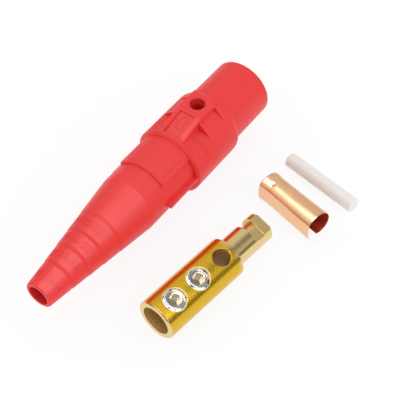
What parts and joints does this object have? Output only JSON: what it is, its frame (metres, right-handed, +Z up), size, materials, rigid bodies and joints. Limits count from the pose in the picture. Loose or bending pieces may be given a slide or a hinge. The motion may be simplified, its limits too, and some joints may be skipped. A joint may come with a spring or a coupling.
{
  "type": "cam-lock plug",
  "caption": "Single-pole cam-lock plug for power cable, taken apart: rubber sleeve, brass contact with set screws, copper foil and nylon retaining pin laid out on a floor.",
  "frame": {"origin": "bottom centre of the whole layout's bounding box, on the floor the pieces lie on", "axes": "+X along the sleeve from its tail to its nose; +Z up from the floor; +Y to the left of the sleeve seen from its tail, so the loose pieces lie on the -Y side"},
  "size_m": [0.1712, 0.1078, 0.0444],
  "materials": {
    "red_rubber": "satin moulded rubber",
    "lacquered_brass": "gold lacquer on the barrel, bare machined brass on the pin",
    "bright_steel": "bright plated steel",
    "copper": "bright rolled copper foil",
    "nylon": "off-white nylon, satin"
  },
  "bodies": {
    "layout": {"insulating_sleeve": "red_rubber", "brass_contact": "lacquered_brass", "copper_foil": "copper", "retaining_pin": "nylon"},
    "rear_screw": {"set_screw_rear": "bright_steel"},
    "front_screw": {"set_screw_front": "bright_steel"}
  },
  "joints": [
    {"name": "rear_screw_travel", "type": "slide", "parent": "layout", "child": "rear_screw", "axis": [-0.034, -0.2904, 0.9563], "range_m": [-0.0075, 0.002]},
    {"name": "front_screw_travel", "type": "slide", "parent": "layout", "child": "front_screw", "axis": [-0.034, -0.2904, 0.9563], "range_m": [-0.0075, 0.002]}
  ]
}
